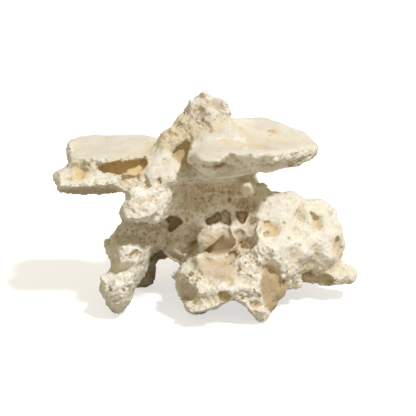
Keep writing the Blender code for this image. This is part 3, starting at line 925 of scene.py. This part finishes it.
# Patches that are more crumbly than the rest: outline, edge, share
CRUMBLY = [
    ([(236, 252), (262, 252), (266, 262), (262, 276), (245, 278), (234, 268)], 4, 0.7),
    ([(176, 268), (200, 268), (206, 276), (198, 288), (180, 282)], 4, 0.7),
    ([(236, 286), (262, 288), (264, 302), (248, 304)], 4, 0.8),
    ([(278, 268), (292, 268), (296, 288), (284, 288)], 3, 0.8),
    ([(158, 140), (170, 124), (186, 108), (192, 126), (176, 146)], 4, 0.35),
    ([(66, 178), (88, 180), (118, 176), (140, 176), (146, 184), (120, 190), (66, 188)], 3, 0.6),
    ([(260, 158), (300, 152), (304, 160), (264, 168)], 2, 0.6),
    ([(136, 264), (157, 264), (157, 288), (138, 292)], 3, 0.6),
]

# Where the rock's left side, with streaks that rise, runs into the rest, and how much of each side's
# pattern also lies on the other side
LEFT_STARTS = 165
LEFT_ENDS = 190
ON_BOTH_SIDES = 0.4

# How much of the pattern of the whole rock the calm patches lose
CALMED = 0.75

# Settings of the broken patterns
CELLS = {"noise_depth": 1, "noise_basis": "CELL_NOISE"}
BROKEN = {"distortion": 1.5, "noise_basis": "ORIGINAL_PERLIN", "noise_distortion": "VORONOI_F1"}


# The rock's shape

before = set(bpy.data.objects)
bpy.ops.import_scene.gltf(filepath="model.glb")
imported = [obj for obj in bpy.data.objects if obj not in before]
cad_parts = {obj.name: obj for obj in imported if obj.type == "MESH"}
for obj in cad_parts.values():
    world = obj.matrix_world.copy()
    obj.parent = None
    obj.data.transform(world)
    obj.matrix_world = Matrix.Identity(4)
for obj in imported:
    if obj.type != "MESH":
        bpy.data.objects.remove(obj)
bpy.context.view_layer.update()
rock = start_rock(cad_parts["reef_rock"])
skin_tree = tree_of(rock)

pull(rock, PRESSED)
shift(rock, SHIFTED)
rock = join_all([rock] + [add_filling(outline) for outline in FILLED], "rock")
fuse(rock, FINE_VOXEL)
soften(rock, 2)
cut_away(rock, [add_carving(outline) for outline in CARVED])
skin_tree = tree_of(rock)

added = [add_lump(*values) for values in LUMPS] + [add_bead(*values) for values in BEADS]
rock = join_all([rock] + added, "rock")
fuse(rock, FINE_VOXEL)
cut = [add_pocket(*values) for values in POCKETS] + [add_carving(outline) for outline in CARVED_LATE]
cut += [add_bead(path, radius, -sink) for path, radius, sink in GROOVES]
cut += [add_lump(x, y, wide, high, 2 * deep) for x, y, wide, high, deep in PITS]
cut_away(rock, cut)
skin_tree = tree_of(rock)

skin = Skin(rock)
calm = find_calm(skin)
crumbly = np.zeros(len(calm))
for outline, edge, share in CRUMBLY:
    crumbly = np.maximum(crumbly, share * patch_weight(skin, outline, edge))
left = smooth_step(-skin.photo[:, 0], -LEFT_ENDS, -LEFT_STARTS)
give_group(rock, "all over", 1 - CALMED * calm)
give_group(rock, "crumbly", crumbly)
give_group(rock, "rough left", (1 - calm) * (ON_BOTH_SIDES + (1 - ON_BOTH_SIDES) * left))
give_group(rock, "rough right", (1 - calm) * (1 - (1 - ON_BOTH_SIDES) * left))
falling = add_streak_frame(-34, 1.7)
rising = add_streak_frame(30, 2.4)
for name, kind, grain, depth, group, streaks, settings in (
    ("swells", "CLOUDS", 12, 3, "all over", None, {"noise_depth": 2}),
    ("flakes", "CLOUDS", 5, 2, "rough right", falling, CELLS),
    ("chips", "CLOUDS", 3.6, 1.8, "rough left", rising, CELLS),
    ("crumbs", "DISTORTED_NOISE", 3.5, 1.2, "rough right", falling, BROKEN),
    ("left crumbs", "DISTORTED_NOISE", 3.2, 1.2, "rough left", rising, BROKEN),
    ("small crumbs", "DISTORTED_NOISE", 3, 1.3, "crumbly", falling, BROKEN),
    ("clods", "VORONOI", 5, -1.7, "crumbly", falling, {"distance_metric": "MANHATTAN"}),
    ("grit", "CLOUDS", 1.7, 1.1, "all over", None, {"noise_depth": 1}),
):
    roughen(rock, texture(name, kind, grain, **settings), depth, group, streaks)
remove(falling)
remove(rising)

# the back may lose more triangles than the front
rock = keep_largest(rock)
give_group(rock, "unseen", 1 - 0.9 * smooth_step(Skin(rock).facing, *UNSEEN))
thin_out(rock, MOST_TRIANGLES, "unseen")
stand_on_floor(rock)
only(rock)
bpy.ops.object.shade_smooth()


# Marks on the mesh that the stone's colour reads


def write_attribute(obj, name, values):
    attribute = obj.data.attributes.new(name, "FLOAT", "POINT")
    attribute.data.foreach_set("value", values.astype(np.float32))


def mark_relief(obj):
    """Writes how far each vertex lies below or above the smoothed skin, in millimetres."""
    mesh = obj.data
    skin = Skin(obj)
    edges = np.empty(len(mesh.edges) * 2, int)
    mesh.edges.foreach_get("vertices", edges)
    a, b = edges[::2], edges[1::2]
    count = len(skin.co)
    links = np.bincount(a, minlength=count) + np.bincount(b, minlength=count)
    smooth = skin.co.copy()
    done = 0
    for name, rounds in (("pore", 3), ("hollow", 40), ("cave", 300)):
        while done < rounds:
            total = np.empty_like(smooth)
            for i in range(3):
                total[:, i] = np.bincount(a, smooth[b, i], count) + np.bincount(b, smooth[a, i], count)
            smooth = 0.4 * smooth + 0.6 * total / links[:, None]
            done += 1
        sunk = np.einsum("ij,ij->i", smooth - skin.co, skin.normal) / MM
        write_attribute(obj, name, sunk)


def lay_stains(obj):
    """Writes one attribute for each kind of stain, and one each for the painted highlight on the ridges,
    the painted shade in the pits, and the painted shade round the cavities' rims with the cracks.
    """
    skin = Skin(obj)
    # painted shade: the tops of the shelf and of the plate are marked to be greyed, since more light
    # falls on them
    write_attribute(obj, "painted_top_shade", find_tops(skin))
    for kind, patches in STAINS.items():
        weight = np.zeros(len(skin.co))
        for strength, edge, outline in patches:
            weight = np.maximum(weight, strength * patch_weight(skin, outline, edge))
        write_attribute(obj, kind, weight)
    for name, paths, low, high in (
        # painted highlight: paler lines along the ridges and lips
        ("painted_ridge_light", [bead[0] for bead in BEADS], 0.6, 2.4),
        # painted shade: brown spots in the pits
        ("pit", [[pit[:2], pit[:2]] for pit in PITS], 0.8, 2.2),
        # painted shade round the cavities' rims, and cracks
        ("crack_and_rim_shade", CRACKS_AND_RIM_SHADE, 0.4, 1.6),
    ):
        weight = np.zeros(len(skin.co))
        for path in paths:
            depth = (spot(*path[len(path) // 2]) - EYE).dot(AWAY)
            near = (skin.facing > LINE_FACING) & (np.abs(skin.depth - depth) < PATCH_DEPTH * MM)
            here = 1 - smooth_step(distance_to_path(skin.photo[near], path), low, high)
            weight[near] = np.maximum(weight[near], here)
        write_attribute(obj, name, weight)


mark_relief(rock)
lay_stains(rock)


# The stone


def stone_material():
    stone = bpy.data.materials.new("dry reef stone")
    stone.use_nodes = True
    nodes, links = stone.node_tree.nodes, stone.node_tree.links
    surface = nodes["Principled BSDF"]
    surface.inputs["Roughness"].default_value = 0.95
    surface.inputs["Specular IOR Level"].default_value = 0.2
    place = nodes.new("ShaderNodeTexCoord")

    def noise(scale, detail=3, rough=0.55):
        node = nodes.new("ShaderNodeTexNoise")
        node.inputs["Scale"].default_value = scale
        node.inputs["Detail"].default_value = detail
        node.inputs["Roughness"].default_value = rough
        links.new(place.outputs["Object"], node.inputs["Vector"])
        return node.outputs["Fac"]

    def span(value, low, high, to_low=0, to_high=1):
        node = nodes.new("ShaderNodeMapRange")
        node.inputs["From Min"].default_value = low
        node.inputs["From Max"].default_value = high
        node.inputs["To Min"].default_value = to_low
        node.inputs["To Max"].default_value = to_high
        links.new(value, node.inputs["Value"])
        return node.outputs["Result"]

    def mix(share, first, second):
        node = nodes.new("ShaderNodeMix")
        node.data_type = "RGBA"
        links.new(share, node.inputs["Factor"])
        for socket, colour in ((node.inputs["A"], first), (node.inputs["B"], second)):
            if isinstance(colour, tuple):
                socket.default_value = (*colour, 1)
            else:
                links.new(colour, socket)
        return node.outputs["Result"]

    def attribute(name):
        node = nodes.new("ShaderNodeAttribute")
        node.attribute_name = name
        return node.outputs["Fac"]

    def times(a, b):
        node = nodes.new("ShaderNodeMath")
        node.operation = "MULTIPLY"
        links.new(a, node.inputs[0])
        links.new(b, node.inputs[1])
        return node.outputs[0]

    cream = (0.75, 0.69, 0.555)
    pale = (0.79, 0.75, 0.655)
    # white of the stone, also laid as painted light on fronts and shaded faces and as painted highlight
    # on ridges
    white = (0.81, 0.775, 0.68)
    # dull brown of painted shade
    painted_shade = (0.40, 0.30, 0.19)
    # grey of the painted shade on the tops
    painted_top_shade_colour = (0.60, 0.55, 0.47)
    sand = (0.66, 0.54, 0.34)
    tan = (0.62, 0.46, 0.22)
    # yellow-brown, partly painted bounce light
    ochre_and_painted_light = (0.74, 0.57, 0.30)
    # red-brown, also laid as painted shade on the dish
    rust_and_painted_shade = (0.36, 0.20, 0.10)
    # pinkish tint, partly painted shade
    pink_and_painted_shade = (0.68, 0.55, 0.38)
    brown = (0.30, 0.17, 0.08)
    # soft blotches, the pinkish tint that is partly painted shade and the chalky white that is partly
    # painted light, under the painted shade that greys the tops
    colour = mix(span(noise(28, 2), 0.4, 0.6), cream, pale)
    for name, most, tint in (("pink_and_painted_shade", 0.8, pink_and_painted_shade), ("chalk_and_painted_light", 0.9, white)):
        colour = mix(span(attribute(name), 0, 1, 0, most), colour, tint)
    # painted shade: the tops are greyed in blotches, darker than the fronts because more light falls on
    # them
    painted_top_shade_share = span(noise(48, 4, 0.6), 0.36, 0.64, 0.45, 0.9)
    colour = mix(times(attribute("painted_top_shade"), painted_top_shade_share), colour, painted_top_shade_colour)
    # painted highlight along the ridges and lips
    colour = mix(span(attribute("painted_ridge_light"), 0, 1, 0, 0.6), colour, white)
    # painted shade in the pits
    colour = mix(span(attribute("pit"), 0, 1, 0, 0.5), colour, brown)
    # sand in patches and in all hollows
    sandy = span(noise(110, 4, 0.65), 0.5, 0.7)
    colour = mix(times(sandy, span(noise(25, 2), 0.4, 0.6, 0.1, 0.6)), colour, sand)
    colour = mix(span(attribute("hollow"), 0.2, 1.6, 0, 0.6), colour, sand)
    colour = mix(span(attribute("cave"), 3, 9, 0, 0.5), colour, sand)
    # the stains that lie over it: tan, the dull brown of painted shade, and the yellow-brown that is
    # partly painted light
    for name, most, tint in (("tan", 0.85, tan), ("painted_shade", 0.85, painted_shade), ("ochre_and_painted_light", 0.9, ochre_and_painted_light)):
        colour = mix(span(attribute(name), 0, 1, 0, most), colour, tint)
    # pores and fine specks
    colour = mix(span(attribute("pore"), 0.12, 0.6, 0, 0.45), colour, sand)
    colour = mix(span(attribute("pore"), 0.5, 1.1, 0, 0.3), colour, brown)
    specks = span(noise(420, 3, 0.6), 0.56, 0.7)
    colour = mix(times(specks, span(noise(60, 2), 0.4, 0.62, 0.1, 0.5)), colour, brown)
    # specks, spots and light seams of the speckled patches
    speckled = attribute("speckled")
    colour = mix(times(span(noise(260, 3, 0.6), 0.52, 0.64, 0, 0.7), speckled), colour, brown)
    colour = mix(times(span(noise(150, 4, 0.6), 0.5, 0.7, 0, 0.5), speckled), colour, tan)
    seams = nodes.new("ShaderNodeTexVoronoi")
    seams.feature = "DISTANCE_TO_EDGE"
    seams.inputs["Scale"].default_value = 75
    bent = nodes.new("ShaderNodeMix")
    bent.data_type = "VECTOR"
    bent.inputs["Factor"].default_value = 0.02
    swirl = nodes.new("ShaderNodeTexNoise")
    swirl.inputs["Scale"].default_value = 90
    links.new(place.outputs["Object"], swirl.inputs["Vector"])
    links.new(place.outputs["Object"], bent.inputs["A"])
    links.new(swirl.outputs["Color"], bent.inputs["B"])
    links.new(bent.outputs["Result"], seams.inputs["Vector"])
    colour = mix(times(span(seams.outputs["Distance"], 0.02, 0.09, 0.6, 0), speckled), colour, white)
    # red-brown, with a little painted shade on the dish's shaded part, and the dark lines: painted shade
    # round the cavities' rims, and cracks
    colour = mix(times(attribute("rust_and_painted_shade"), span(noise(160, 3), 0.35, 0.6, 0.4, 1)), colour, rust_and_painted_shade)
    colour = mix(span(attribute("crack_and_rim_shade"), 0, 1, 0, 0.75), colour, brown)
    links.new(colour, surface.inputs["Base Color"])
    bump = nodes.new("ShaderNodeBump")
    bump.inputs["Strength"].default_value = 0.6
    bump.inputs["Distance"].default_value = 0.8 * MM
    links.new(noise(900, 4, 0.7), bump.inputs["Height"])
    links.new(bump.outputs["Normal"], surface.inputs["Normal"])
    return stone


rock.data.materials.append(stone_material())
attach(rock, "root")
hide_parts("reef_rock")


# Floor, light and camera


def floor_material():
    floor = bpy.data.materials.new("pale floor")
    floor.use_nodes = True
    nodes, links = floor.node_tree.nodes, floor.node_tree.links
    surface = nodes["Principled BSDF"]
    surface.inputs["Base Color"].default_value = (0.52, 0.49, 0.45, 1)
    surface.inputs["Roughness"].default_value = 0.9
    glow = nodes.new("ShaderNodeEmission")
    glow.inputs["Strength"].default_value = 0.62
    both = nodes.new("ShaderNodeAddShader")
    links.new(surface.outputs["BSDF"], both.inputs[0])
    links.new(glow.outputs["Emission"], both.inputs[1])
    seen = nodes.new("ShaderNodeLightPath")
    choice = nodes.new("ShaderNodeMixShader")
    links.new(seen.outputs["Is Camera Ray"], choice.inputs["Fac"])
    links.new(surface.outputs["BSDF"], choice.inputs[1])
    links.new(both.outputs["Shader"], choice.inputs[2])
    links.new(choice.outputs["Shader"], nodes["Material Output"].inputs["Surface"])
    return floor


bpy.ops.mesh.primitive_plane_add(size=12)
floor = bpy.context.object
floor.name = "floor"
floor.data.materials.append(floor_material())

bpy.ops.object.light_add(type="SUN", rotation=LIGHT_FROM.to_track_quat("Z", "Y").to_euler())
key = bpy.context.object
key.name = "key light"
key.data.energy = 3.03
key.data.angle = 0.09
key.data.color = (0.876, 0.915, 1)

world = bpy.data.worlds.new("soft room light")
world.use_nodes = True
world.node_tree.nodes["Background"].inputs["Color"].default_value = (1, 0.91, 0.67, 1)
world.node_tree.nodes["Background"].inputs["Strength"].default_value = 0.56
bpy.context.scene.world = world
bpy.context.scene.view_settings.view_transform = "Standard"

bpy.ops.object.camera_add(location=EYE, rotation=(-AWAY).to_track_quat("Z", "Y").to_euler())
camera = bpy.context.object
camera.name = "photo camera"
camera.data.sensor_width = 36
camera.data.lens = 36 * VIEW_DISTANCE / (PHOTO_SIDE * MM)
bpy.context.scene.camera = camera
